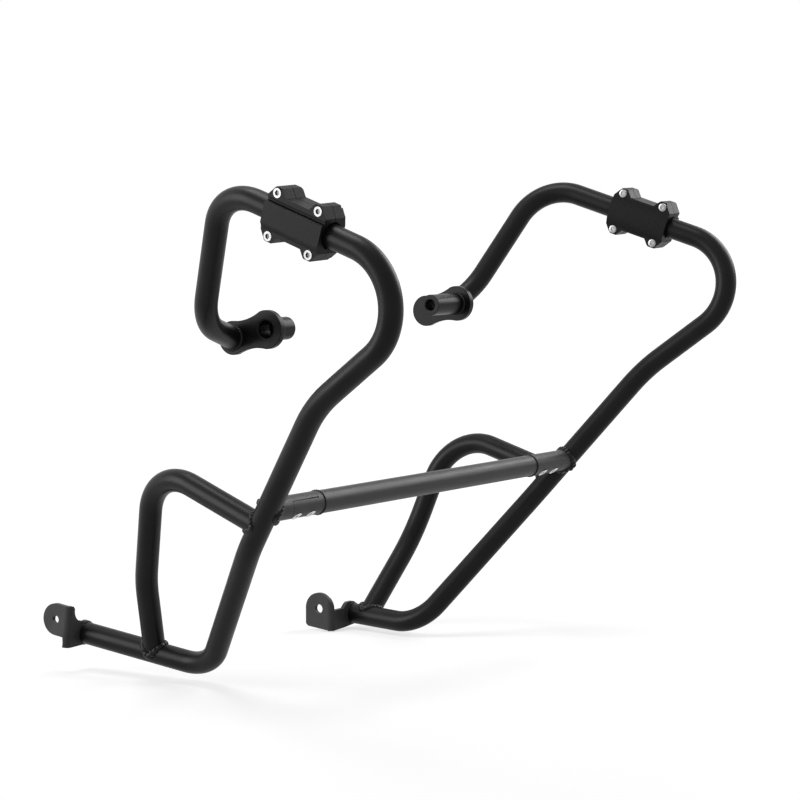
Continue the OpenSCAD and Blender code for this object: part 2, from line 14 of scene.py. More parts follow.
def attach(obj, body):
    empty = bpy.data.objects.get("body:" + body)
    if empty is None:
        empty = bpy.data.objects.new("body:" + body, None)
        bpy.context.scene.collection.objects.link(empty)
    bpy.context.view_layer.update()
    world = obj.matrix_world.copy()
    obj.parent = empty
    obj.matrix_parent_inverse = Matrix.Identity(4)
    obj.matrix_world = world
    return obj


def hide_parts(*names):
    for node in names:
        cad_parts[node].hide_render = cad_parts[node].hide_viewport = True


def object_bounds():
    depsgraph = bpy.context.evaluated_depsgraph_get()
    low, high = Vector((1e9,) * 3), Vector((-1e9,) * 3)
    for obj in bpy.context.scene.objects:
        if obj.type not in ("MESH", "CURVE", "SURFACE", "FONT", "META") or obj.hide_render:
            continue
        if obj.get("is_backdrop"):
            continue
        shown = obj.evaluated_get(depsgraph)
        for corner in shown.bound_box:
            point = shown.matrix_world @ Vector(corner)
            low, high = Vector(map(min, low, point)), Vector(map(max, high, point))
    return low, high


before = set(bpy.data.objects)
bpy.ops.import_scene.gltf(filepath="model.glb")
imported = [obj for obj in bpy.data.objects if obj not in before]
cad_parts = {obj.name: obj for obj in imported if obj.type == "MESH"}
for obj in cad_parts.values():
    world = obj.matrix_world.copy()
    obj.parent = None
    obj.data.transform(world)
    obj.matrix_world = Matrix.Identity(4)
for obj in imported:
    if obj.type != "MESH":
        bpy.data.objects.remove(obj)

LOG = logging.getLogger("crash_bars")
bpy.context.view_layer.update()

# The object's origin in the bike's frame, in millimetres.
RIGHT_LOWER_BOLT = Vector((-241.5, 16.7831, 17.8767))
TUBE_RADIUS = 0.0124

# In a CAD node's copy, points this close are one point, and faces this flat are one face.
MERGE_DISTANCE = 2e-6
FLAT_DEGREES = 0.5
# Edges of such a copy that turn by more than this are broken.
BREAK_DEGREES = 28.0
# A socket's painted-shade pad: its sides, and its radius as a share of the socket's width across
# flats.
PAD_SIDES = 24
PAD_SHARE = 0.495

WHITE = (1.0, 1.0, 1.0, 1.0)

Colour = tuple[float, float, float]
Pair = tuple[float, float]
Reshape = Callable[[bmesh.types.BMesh], None]
Surface = Callable[[Vector], tuple[float, Vector]]


class Side(Enum):
    """The two halves, as the rider has them."""

    RIGHT = "right"
    LEFT = "left"

    @property
    def sign(self) -> int:
        """-1 for the right half and 1 for the left one."""
        return -1 if self is Side.RIGHT else 1


class Slot(Enum):
    """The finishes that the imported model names."""

    TUBE = "tube"
    JOINT = "joint"
    BRACKET = "bracket"
    BLOCK = "block"
    SCREW = "screw"


def place(x: float, y: float, z: float) -> Vector:
    """A point of the bike's frame in the object's frame.

    Args:
        x: Millimetres to the bike's left of its centre plane.
        y: Millimetres behind the right lower tube's end.
        z: Millimetres above that end.

    Returns:
        The same point in metres from the right lower bolt.
    """
    return (Vector((x, y, z)) - RIGHT_LOWER_BOLT) / 1000.0


def toward(start: Vector, end: Vector, distance: float) -> Vector:
    """The point that lies a distance from start on the way to end."""
    return start + (end - start).normalized() * distance


def aside(vector: Vector, axis: Vector) -> Vector:
    """The unit vector of what is left of vector once its share along axis is taken away."""
    axis = axis.normalized()
    return (vector - axis * vector.dot(axis)).normalized()


# ---- Finishes


def map_range(
    tree: bpy.types.NodeTree, source: bpy.types.NodeSocket, span: Pair, reach: Pair
) -> bpy.types.NodeSocket:
    """Adds a node that lets one value follow another.

    Args:
        tree: The node tree.
        source: The value that is followed.
        span: Its lowest and highest level.
        reach: What those two levels become.

    Returns:
        The socket of the new value.
    """
    node = tree.nodes.new("ShaderNodeMapRange")
    for label, level in zip(("From Min", "From Max", "To Min", "To Max"), (*span, *reach)):
        node.inputs[label].default_value = level
    tree.links.new(source, node.inputs["Value"])
    return node.outputs["Result"]


class FinishNodes:
    """A new material, with the nodes that the finishes share."""

    def __init__(self, name: str) -> None:
        """Starts the material with its shader and the piece's own coordinates.

        Args:
            name: The material's name.
        """
        self.material = bpy.data.materials.new(name)
        self.material.use_nodes = True
        self.tree = self.material.node_tree
        self.shader = self.tree.nodes["Principled BSDF"]
        self.coords = self.tree.nodes.new("ShaderNodeTexCoord")

    def plain(self, socket: str, level: float) -> None:
        """Sets a value of the shader that is the same all over the surface."""
        self.shader.inputs[socket].default_value = level

    def noise(self, scale: float, detail: float) -> bpy.types.NodeSocket:
        """Adds a noise over the surface.

        Args:
            scale: Its scale, per metre.
            detail: Its levels of detail.

        Returns:
            The noise's socket.
        """
        node = self.tree.nodes.new("ShaderNodeTexNoise")
        node.inputs["Scale"].default_value = scale
        node.inputs["Detail"].default_value = detail
        self.tree.links.new(self.coords.outputs["Object"], node.inputs["Vector"])
        return node.outputs["Fac"]

    def colour(
        self, source: bpy.types.NodeSocket, span: Pair, low: Colour, high: Colour
    ) -> None:
        """Lets the colour follow a noise.

        Args:
            source: The noise.
            span: The two levels at which the colours are pure.
            low: The colour at the lower level.
            high: The colour at the upper level.
        """
        ramp = self.tree.nodes.new("ShaderNodeValToRGB")
        for stop, level, shade in zip(ramp.color_ramp.elements, span, (low, high)):
            stop.position = level
            stop.color = (*shade, 1.0)
        self.tree.links.new(source, ramp.inputs["Fac"])
        self.tree.links.new(ramp.outputs["Color"], self.shader.inputs["Base Color"])

    def roughness(self, source: bpy.types.NodeSocket, span: Pair, reach: Pair) -> None:
        """Lets the roughness follow a noise, with spans as map_range has them."""
        rough = map_range(self.tree, source, span, reach)
        self.tree.links.new(rough, self.shader.inputs["Roughness"])

    def bump(self, source: bpy.types.NodeSocket, depth: float) -> None:
        """Lets the surface rise with a noise.

        Args:
            source: The noise.
            depth: How far the surface rises, in metres.
        """
        node = self.tree.nodes.new("ShaderNodeBump")
        node.inputs["Strength"].default_value = 1.0
        node.inputs["Distance"].default_value = depth
        self.tree.links.new(source, node.inputs["Height"])
        self.tree.links.new(node.outputs["Normal"], self.shader.inputs["Normal"])


@dataclass(frozen=True)
class Finish:
    """A finish of two colours that a noise mixes."""

    name: str
    colour: Colour
    second: Colour

    def lay(self, nodes: FinishNodes) -> None:
        """Lays out the nodes of this kind of finish, which each kind does in its own way."""
        raise NotImplementedError

    def make(self) -> bpy.types.Material:
        """Makes the finish as a material.

        Returns:
            The new material.
        """
        nodes = FinishNodes(self.name)
        self.lay(nodes)
        return nodes.material


@dataclass(frozen=True)
class PowderCoat(Finish):
    """A satin powder coat with a fine orange-peel grain and faint cloudiness."""

    roughness: Pair = (0.40, 0.50)
    grain: float = 900.0
    grain_depth: float = 0.00006
    specular: float = 0.16
    grain_detail: float = 2.0
    cloud: float = 26.0
    cloud_detail: float = 5.0
    cloud_span: Pair = (0.35, 0.68)
    sheen_span: Pair = (0.3, 0.7)

    def lay(self, nodes: FinishNodes) -> None:
        """Lays clouds of colour and sheen under the grain.

        Args:
            nodes: The material's nodes.
        """
        nodes.plain("Specular IOR Level", self.specular)
        clouds = nodes.noise(self.cloud, self.cloud_detail)
        nodes.colour(clouds, self.cloud_span, self.colour, self.second)
        nodes.roughness(clouds, self.sheen_span, self.roughness)
        nodes.bump(nodes.noise(self.grain, self.grain_detail), self.grain_depth)


@dataclass(frozen=True)
class BlastedAnodise(Finish):
    """Black anodised aluminium with a fine blasted sparkle."""

    roughness: float = 0.42
    specular: float = 0.09
    grit: float = 1500.0
    grit_detail: float = 3.0
    grit_span: Pair = (0.42, 0.72)
    grit_depth: float = 0.00005

    def lay(self, nodes: FinishNodes) -> None:
        """Lays one grit that both speckles and roughens the surface.

        Args:
            nodes: The material's nodes.
        """
        nodes.plain("Roughness", self.roughness)
        nodes.plain("Specular IOR Level", self.specular)
        grit = nodes.noise(self.grit, self.grit_detail)
        nodes.colour(grit, self.grit_span, self.colour, self.second)
        nodes.bump(grit, self.grit_depth)


@dataclass(frozen=True)
class TurnedSteel(Finish):
    """Stainless steel with fine turning marks, which are its darker second colour."""

    roughness: Pair = (0.22, 0.42)
    marks: float = 700.0
    marks_detail: float = 4.0
    marks_span: Pair = (0.3, 0.6)

    def lay(self, nodes: FinishNodes) -> None:
        """Lays marks that darken the steel and change its sheen.

        Args:
            nodes: The material's nodes.
        """
        nodes.plain("Metallic", 1.0)
        marks = nodes.noise(self.marks, self.marks_detail)
        nodes.colour(marks, self.marks_span, self.second, self.colour)
        nodes.roughness(marks, (0.0, 1.0), self.roughness)


TUBE_COAT = PowderCoat(
    "tube_coat", (0.0050, 0.0050, 0.0053), (0.0080, 0.0080, 0.0084), (0.33, 0.42), specular=0.13
)
# A lighter copy of the tube coat for the cross tube: painted light that brightens it beyond what
# the lamps give.
CROSS_TUBE_LIT_COAT = PowderCoat(
    "cross_tube_lit_coat", (0.019, 0.019, 0.0194), (0.029, 0.029, 0.0296), (0.36, 0.44), specular=0.20
)
JOINT_COAT = PowderCoat(
    "joint_coat", (0.036, 0.036, 0.0368), (0.052, 0.052, 0.053), specular=0.18
)
# A darker copy of the tube coat for the plates and spacers: painted shade.
PLATE_SHADED_COAT = PowderCoat(
    "plate_shaded_coat", (0.0035, 0.0035, 0.0037), (0.0070, 0.0070, 0.0073), (0.28, 0.38), specular=0.11
)
# A lighter copy of the tube coat for the brackets: painted light.
BRACKET_LIT_COAT = PowderCoat(
    "bracket_lit_coat", (0.045, 0.045, 0.0458), (0.062, 0.062, 0.063), specular=0.12
)
WELD_COAT = PowderCoat(
    "weld_coat", (0.006, 0.006, 0.0063), (0.012, 0.012, 0.0125), (0.26, 0.36), grain=1400.0,
    grain_depth=0.00004,
)
BLOCK_FINISH = BlastedAnodise("block_anodise", (0.0030, 0.0030, 0.0032), (0.018, 0.018, 0.0186))
SCREW_STEEL = TurnedSteel("screw_steel", (0.24, 0.24, 0.244), (0.15, 0.15, 0.153))
# A much lighter copy of the screw steel for the joint screws: painted light that brightens heads
# the lamps leave dark.
JOINT_SCREW_LIT_STEEL = TurnedSteel("joint_screw_lit_steel", (0.66, 0.66, 0.67), (0.46, 0.46, 0.47))
NUT_STEEL = TurnedSteel("nut_steel", (0.30, 0.30, 0.305), (0.18, 0.18, 0.183))
# Socket pads: a dark steel that is painted shade, standing for the shadow at the bottom of each hex
# socket.
SOCKET_PAINTED_SHADE = TurnedSteel("socket_painted_shade", (0.085, 0.085, 0.087), (0.050, 0.050, 0.051))


class Wardrobe:
    """Makes each finish once and hands it to the pieces that wear it."""

    def __init__(self) -> None:
        """Starts with no finish made."""
        self._made: dict[str, bpy.types.Material] = {}

    def dress(self, piece: bpy.types.Object, finish: Finish, slot: Slot) -> None:
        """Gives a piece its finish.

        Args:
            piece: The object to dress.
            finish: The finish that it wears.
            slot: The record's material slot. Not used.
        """
        if finish.name not in self._made:
            self._made[finish.name] = finish.make()
        piece.data.materials.clear()
        piece.data.materials.append(self._made[finish.name])


# ---- Mesh helpers


def to_object(bm: bmesh.types.BMesh, name: str, sharp_degrees: float = 35.0) -> bpy.types.Object:
    """Turns a finished bmesh into a smooth-shaded object that rides on the part.

    Args:
        bm: The mesh, in metres in the object's frame. It is freed.
        name: The new object's name.
        sharp_degrees: Edges that turn by more than this stay sharp.

    Returns:
        The new object, at the origin.
    """
    bmesh.ops.recalc_face_normals(bm, faces=bm.faces)
    limit = math.radians(sharp_degrees)
    for face in bm.faces:
        face.smooth = True
    for edge in bm.edges:
        if edge.is_manifold:
            edge.smooth = edge.calc_face_angle(0.0) < limit
    mesh = bpy.data.meshes.new(name)
    bm.to_mesh(mesh)
    bm.free()
    piece = bpy.data.objects.new(name, mesh)
    bpy.context.scene.collection.objects.link(piece)
    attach(piece, "root")
    return piece


def merged_copy(node: str) -> bmesh.types.BMesh:
    """Copies a CAD node's loose triangles and joins them into whole faces.

    Args:
        node: The CAD node.

    Returns:
        The new mesh.
    """
    bm = bmesh.new()
    bm.from_mesh(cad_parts[node].data)
    bmesh.ops.remove_doubles(bm, verts=bm.verts, dist=MERGE_DISTANCE)
    bmesh.ops.dissolve_limit(
        bm, angle_limit=math.radians(FLAT_DEGREES), use_dissolve_boundaries=False,
        verts=bm.verts, edges=bm.edges, delimit={"NORMAL"},
    )
    return bm


def break_edges(
    bm: bmesh.types.BMesh, edges: list[bmesh.types.BMEdge], width: float, segments: int,
    clamp: bool = True,
) -> None:
    """Bevels edges.

    Args:
        bm: The mesh.
        edges: Its edges to break.
        width: How far they are broken, in metres.
        segments: Faces across each broken edge.
        clamp: Whether a bevel stops where it meets the next one.
    """
    bmesh.ops.bevel(
        bm, geom=edges, offset=width, offset_type="OFFSET", affect="EDGES", segments=segments,
        profile=0.5, material=-1, clamp_overlap=clamp,
    )


def add_slug(
    bm: bmesh.types.BMesh, centre: Vector, axis: Vector, radius: float, depth: float, sides: int
) -> None:
    """Adds a short round slug.

    Args:
        bm: The mesh that it goes into.
        centre: Its middle.
        axis: The way that it stands.
        radius: Its radius, in metres.
        depth: Its length along the axis, in metres.
        sides: Faces round it.
    """
    turn = axis.to_track_quat("Z", "Y").to_matrix().to_4x4()
    bmesh.ops.create_cone(
        bm, cap_ends=True, cap_tris=False, segments=sides, radius1=radius, radius2=radius,
        depth=depth, matrix=Matrix.Translation(centre) @ turn,
    )


def softened_copy(
    node: str, name: str, width: float, segments: int = 2, reshape: Reshape | None = None
) -> bpy.types.Object:
    """Copies a CAD node, breaks its sharp edges and puts the copy in its place.

    Args:
        node: The CAD node.
        name: The new object's name.
        width: How far the edges are broken, in metres.
        segments: Faces across each broken edge.
        reshape: What is done to the copy's mesh before its edges are broken.

    Returns:
        The new object.
    """
    bm = merged_copy(node)
    if reshape:
        reshape(bm)
    limit = math.radians(BREAK_DEGREES)
    sharp = [e for e in bm.edges if e.is_manifold and e.calc_face_angle(0.0) > limit]
    break_edges(bm, sharp, width, segments)
    piece = to_object(bm, name, sharp_degrees=50.0)
    weigh = piece.modifiers.new("even_normals", "WEIGHTED_NORMAL")
    weigh.keep_sharp = True
    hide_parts(node)
    return piece


def socket_floors(node: str, flats: float, slack: float = 0.02) -> list[tuple[Vector, Vector]]:
    """Finds the hexagonal floors of a node's screw sockets.

    Args:
        node: The CAD node.
        flats: The sockets' width across flats, in metres.
        slack: How far a floor's area may be off, as a share of it.

    Returns:
        Each floor's centre and its outward unit normal.
    """
    bm = merged_copy(node)
    area = math.sqrt(3) / 2 * flats * flats
    floors = [
        (face.calc_center_median(), face.normal.copy())
        for face in bm.faces
        if len(face.verts) == 6 and abs(face.calc_area() - area) < slack * area
    ]
    bm.free()
    return floors


def socket_shades(
    node: str, name: str, flats: float, rise: float, sink: float = 0.0
) -> bpy.types.Object | None:
    """Fills the bottom of each hex socket with a dark round pad, painted shade for the shadow
    inside the socket.

    Args:
        node: The CAD node that holds the screws.
        name: The new object's name.
        flats: The sockets' width across flats, in metres.
        rise: How far each pad stands above its socket's floor, in metres.
        sink: How far the heads were lowered, in metres. Raised heads give it below zero.

    Returns:
        The new object, or None where the node has no such socket.
    """
    floors = socket_floors(node, flats)
    LOG.info("%s has %d sockets", node, len(floors))
    if not floors:
        return None
    bm = bmesh.new()
    for centre, normal in floors:
        middle = centre + normal * (rise / 2 - sink)
        add_slug(bm, middle, normal, flats * PAD_SHARE, rise, PAD_SIDES)
    return to_object(bm, name)


# ---- Bent tubes


@dataclass
class BentTube:
    """A round tube that runs from corner to corner of a route, with each corner bent."""

    name: str
    corners: list[Vector]
    bends: list[float]
    radius: float = TUBE_RADIUS
    sides: int = 56
    step_degrees: float = 3.0
    least_steps: int = 6

    def build(self) -> bpy.types.Object:
        """Draws the tube as a bender makes it: a ring, pushed along straights and spun at bends.

        Returns:
            The tube's object.
        """
        bm = bmesh.new()
        heading = (self.corners[1] - self.corners[0]).normalized()
        turn = heading.to_track_quat("Z", "Y").to_matrix().to_4x4()
        bmesh.ops.create_circle(
            bm, cap_ends=False, segments=self.sides, radius=self.radius,
            matrix=Matrix.Translation(self.corners[0]) @ turn,
        )
        edges = list(bm.edges)
        bmesh.ops.contextual_create(bm, geom=edges)
        here = self.corners[0]
        for i, bend in enumerate(self.bends, start=1):
            before, corner, after = self.corners[i - 1], self.corners[i], self.corners[i + 1]
            ahead = (corner - before).normalized()
            onward = (after - corner).normalized()
            angle = ahead.angle(onward)
            setback = bend * math.tan(angle / 2)
            start = corner - ahead * setback
            verts, edges = self._push(bm, edges, start - here)
            centre = start + aside(onward, ahead) * bend
            steps = max(self.least_steps, round(math.degrees(angle) / self.step_degrees))
            swept = bmesh.ops.spin(
                bm, geom=verts + edges, cent=centre, axis=ahead.cross(onward).normalized(),
                dvec=(0.0, 0.0, 0.0), angle=angle, steps=steps, use_merge=False,
                use_normal_flip=False, use_duplicate=False,
            )["geom_last"]
            edges = [g for g in swept if isinstance(g, bmesh.types.BMEdge)]
            here = corner + onward * setback
        _, edges = self._push(bm, edges, self.corners[-1] - here)
        bmesh.ops.contextual_create(bm, geom=edges)
        return to_object(bm, self.name)

    @staticmethod
    def _push(
        bm: bmesh.types.BMesh, edges: list[bmesh.types.BMEdge], way: Vector
    ) -> tuple[list[bmesh.types.BMVert], list[bmesh.types.BMEdge]]:
        """Extrudes the ring straight on.

        Args:
            bm: The tube's mesh.
            edges: The ring's edges.
            way: How far the ring moves.

        Returns:
            The new ring's vertices and edges.
        """
        grown = bmesh.ops.extrude_edge_only(bm, edges=edges)["geom"]
        verts = [g for g in grown if isinstance(g, bmesh.types.BMVert)]
        bmesh.ops.translate(bm, verts=verts, vec=way)
        fresh = set(verts)
        ring = [
            g for g in grown
            if isinstance(g, bmesh.types.BMEdge) and g.verts[0] in fresh and g.verts[1] in fresh
        ]
        return verts, ring


# ---- Welds


@dataclass
class WeldBead:
    """A rippled bead where a round branch meets a tube or a flat plate."""

    name: str
    root: Vector
    along: Vector
    branch_radius: float
    surface: Surface
    width: float = 0.0024
    ripple_pitch: float = 0.0026
    upright: Vector = field(default_factory=lambda: Vector((0.0, 0.0, 1.0)))
    section_sides: int = 12
    steps_per_ripple: int = 6
    seam_step: float = 0.02
    lag: float = 1.6
    trough: float = 0.82
    crest: float = 0.30
    flatness: float = 0.85

    def _sway(self, phi: float) -> float:
        """How much an uneven hand swells the bead at an angle round the branch."""
        return 1.0 + 0.05 * math.sin(3 * phi + self.root.x * 40) + 0.03 * math.sin(7 * phi)

    def build(self) -> bpy.types.Object:
        """Spins a ring of bead round the branch, then lays it into the seam and ripples it.

        Returns:
            The bead's object.
        """
        along = self.along.normalized()
        first = aside(self.upright, along)
        second = along.cross(first)
        ripples = round(2 * math.pi * self.branch_radius / self.ripple_pitch)
        bm = bmesh.new()
        section = bmesh.ops.create_circle(
            bm, cap_ends=False, segments=self.section_sides, radius=self.width,
            matrix=Matrix.Translation((self.branch_radius, 0.0, 0.0))
            @ Matrix.Rotation(math.pi / 2, 4, "X"),
        )["verts"]
        bmesh.ops.spin(
            bm, geom=section + list(bm.edges), cent=(0.0, 0.0, 0.0), axis=(0.0, 0.0, 1.0),
            dvec=(0.0, 0.0, 0.0), angle=2 * math.pi, steps=ripples * self.steps_per_ripple,
            use_merge=True, use_normal_flip=False, use_duplicate=False,
        )

        def seam(phi: float) -> tuple[Vector, Vector]:
            """Finds the seam at an angle round the branch.

            Args:
                phi: The angle.

            Returns:
                The seam's point there, and the way out of its corner.
            """
            radial = first * math.cos(phi) + second * math.sin(phi)
            start = self.root + radial * self.branch_radius
            reach, normal = self.surface(start)
            return start + along * reach, (radial + normal).normalized()

        for vert in bm.verts:
            phi = math.atan2(vert.co.y, vert.co.x)
            across = math.hypot(vert.co.x, vert.co.y) - self.branch_radius
            psi = math.atan2(vert.co.z, across)
            middle, outward = seam(phi)
            ahead, behind = seam(phi + self.seam_step)[0], seam(phi - self.seam_step)[0]
            tangent = (ahead - behind).normalized()
            sideways = tangent.cross(outward)
            phase = ripples * phi - self.lag * math.sin(psi) ** 2
            wave = 0.5 + 0.5 * math.cos(phase)
            size = self.width * self._sway(phi) * (self.trough + self.crest * wave)
            across_bead = outward * (math.cos(psi) * self.flatness) + sideways * math.sin(psi)
            vert.co = middle + across_bead * size
        return to_object(bm, self.name, sharp_degrees=80.0)


def tube_surface(axis_point: Vector, axis: Vector, radius: float, along: Vector) -> Surface:
    """How far a line runs from inside a round tube to its skin.

    Args:
        axis_point: A point on the tube's axis.
        axis: The tube's direction.
        radius: The tube's outer radius.
        along: The line's unit direction.

    Returns:
        A function of the line's start that gives the distance and the skin's normal there.
    """
    axis = axis.normalized()
    way = along - axis * along.dot(axis)

    def hit(start: Vector) -> tuple[float, Vector]:
        """Solves the quadratic of a line and a cylinder.

        Args:
            start: Where the line starts.

        Returns:
            The distance to the skin, and its normal there.
        """
        offset = start - axis_point
        offset = offset - axis * offset.dot(axis)
        a, b = way.dot(way), offset.dot(way)
        c = offset.dot(offset) - radius * radius
        reach = (-b + math.sqrt(max(b * b - a * c, 0.0))) / a
        return reach, (offset + way * reach).normalized()

    return hit


def plate_surface(plate_point: Vector, normal: Vector, along: Vector) -> Surface:
    """How far a line runs to a flat plate, with the plate's normal.

    Args:
        plate_point: A point on the plate's face.
        normal: The face's outward unit normal.
        along: The line's unit direction.

    Returns:
        A function of the line's start that gives the distance and the normal.
    """

    def hit(start: Vector) -> tuple[float, Vector]:
        """The distance to the plate and its normal."""
        return (plate_point - start).dot(normal) / along.dot(normal), normal

    return hit


# ---- Sub-assemblies


@dataclass
class BarHalf:
    """One half: the main tube, its loop, the plate, spacer and bracket, and their welds."""

    side: Side
    wardrobe: Wardrobe
    mount_end: Vector
    shoulder: Vector
    crown: Vector
    nose: Vector
    elbow: Vector
    knee: Vector
    heel: Vector
    low_end: Vector
    loop_top: Vector
    loop_leg: Vector
    loop_above_knee: float
    loop_ahead_of_end: float
    cross_above_knee: float
    plate_span: float
    bracket_tilt: float
    bends: tuple[float, ...] = (0.084, 0.059, 0.060, 0.150, 0.180, 0.054)
    loop_bends: tuple[float, ...] = (0.062, 0.150)
    plate_thickness: float = 0.008
    plate_tilt: float = 13.0
    sink_in_plate: float = 0.003
    sink_in_flange: float = 0.002
    plate_edge: float = 0.0009
    spacer_edge: float = 0.0006
    bracket_edge: float = 0.0008
    loop_top_bead: Pair = (0.0030, 0.0034)
    loop_foot_bead: Pair = (0.0038, 0.0040)
    mount_bead: float = 0.0022
    spacer_bead: float = 0.0018
    bracket_bead: float = 0.0015

    @property
    def loop_start(self) -> Vector:
        """Where the loop's upper end meets the main tube's axis."""
        return toward(self.knee, self.elbow, self.loop_above_knee)

    @property
    def loop_foot(self) -> Vector:
        """Where the loop's lower end meets the lower tube's axis."""
        return toward(self.low_end, self.heel, self.loop_ahead_of_end)

    @property
    def cross_end(self) -> Vector:
        """Where the cross tube's axis meets the main tube's."""
        return toward(self.knee, self.elbow, self.cross_above_knee)

    @property
    def bolt_hole(self) -> Vector:
        """The upper bolt hole's centre on the plate's outer face."""
        tilt = math.radians(self.plate_tilt)
        return self.mount_end + Vector((0.0, -math.cos(tilt), math.sin(tilt))) * self.plate_span

    def name(self, part: str) -> str:
        """A piece's name, with the side before it."""
        return f"{self.side.value}_{part}"

    def build(self) -> None:
        """Builds and dresses every piece of this half."""
        self._tubes()
        self._plates()
        self._welds()

    def _tubes(self) -> None:
        """Bends the main tube and the loop."""
        into_plate = toward(self.mount_end, self.shoulder, -self.sink_in_plate)
        into_flange = toward(self.low_end, self.heel, -self.sink_in_flange)
        main = BentTube(
            self.name("main_tube_bent"),
            [into_plate, self.shoulder, self.crown, self.nose, self.elbow, self.knee, self.heel,
             into_flange],
            list(self.bends),
        ).build()
        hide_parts(self.name("main_tube"))
        self.wardrobe.dress(main, TUBE_COAT, Slot.TUBE)
        loop = BentTube(
            self.name("loop_tube_bent"),
            [self.loop_start, self.loop_top, self.loop_leg, self.loop_foot],
            list(self.loop_bends),
        ).build()
        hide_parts(self.name("loop_tube"))
        self.wardrobe.dress(loop, TUBE_COAT, Slot.TUBE)
        LOG.info("%s tubes bent", self.side.value)

    def _plates(self) -> None:
        """Breaks the edges of the plate, spacer and bracket."""
        # The plates and spacers wear a darker copy of the tube coat (painted shade), the brackets a
        # lighter one (painted light).
        for part, edge, finish in (
            ("mount_plate", self.plate_edge, PLATE_SHADED_COAT),
            ("spacer", self.spacer_edge, PLATE_SHADED_COAT),
            ("lower_bracket", self.bracket_edge, BRACKET_LIT_COAT),
        ):
            piece = softened_copy(self.name(part), self.name(part + "_soft"), edge)
            self.wardrobe.dress(piece, finish, Slot.BRACKET)
        LOG.info("%s plates dressed", self.side.value)

    def _welds(self) -> None:
        """Lays every bead of this half."""
        outboard = Vector((float(self.side.sign), 0.0, 0.0))
        main_way = (self.elbow - self.knee).normalized()
        low_way = (self.heel - self.low_end).normalized()
        loop_in = (self.loop_top - self.loop_start).normalized()
        loop_down = (self.loop_leg - self.loop_foot).normalized()
        to_shoulder = (self.shoulder - self.mount_end).normalized()
        plate_inner = self.bolt_hole - outboard * self.plate_thickness
        lean = math.radians(self.bracket_tilt)
        flange_front = Vector((0.0, -math.cos(lean), -math.sin(lean)))
        beads = [
            WeldBead(
                self.name("loop_top_weld"), self.loop_start, loop_in, TUBE_RADIUS,
                tube_surface(self.knee, main_way, TUBE_RADIUS, loop_in), *self.loop_top_bead,
            ),
            WeldBead(
                self.name("loop_foot_weld"), self.loop_foot, loop_down, TUBE_RADIUS,
                tube_surface(self.low_end, low_way, TUBE_RADIUS, loop_down), *self.loop_foot_bead,
                upright=Vector((0.0, 1.0, 0.0)),
            ),
            WeldBead(
                self.name("mount_weld"), self.mount_end, to_shoulder, TUBE_RADIUS,
                plate_surface(self.mount_end, outboard, to_shoulder), self.mount_bead,
            ),
            WeldBead(
                self.name("spacer_weld"), plate_inner, -outboard, TUBE_RADIUS,
                plate_surface(plate_inner, -outboard, -outboard), self.spacer_bead,
            ),
            WeldBead(
                self.name("bracket_weld"), self.low_end, low_way, TUBE_RADIUS,
                plate_surface(self.low_end, flange_front, low_way), self.bracket_bead,
            ),
        ]
        for bead in beads:
            self.wardrobe.dress(bead.build(), WELD_COAT, Slot.TUBE)
        LOG.info("%s welds laid", self.side.value)


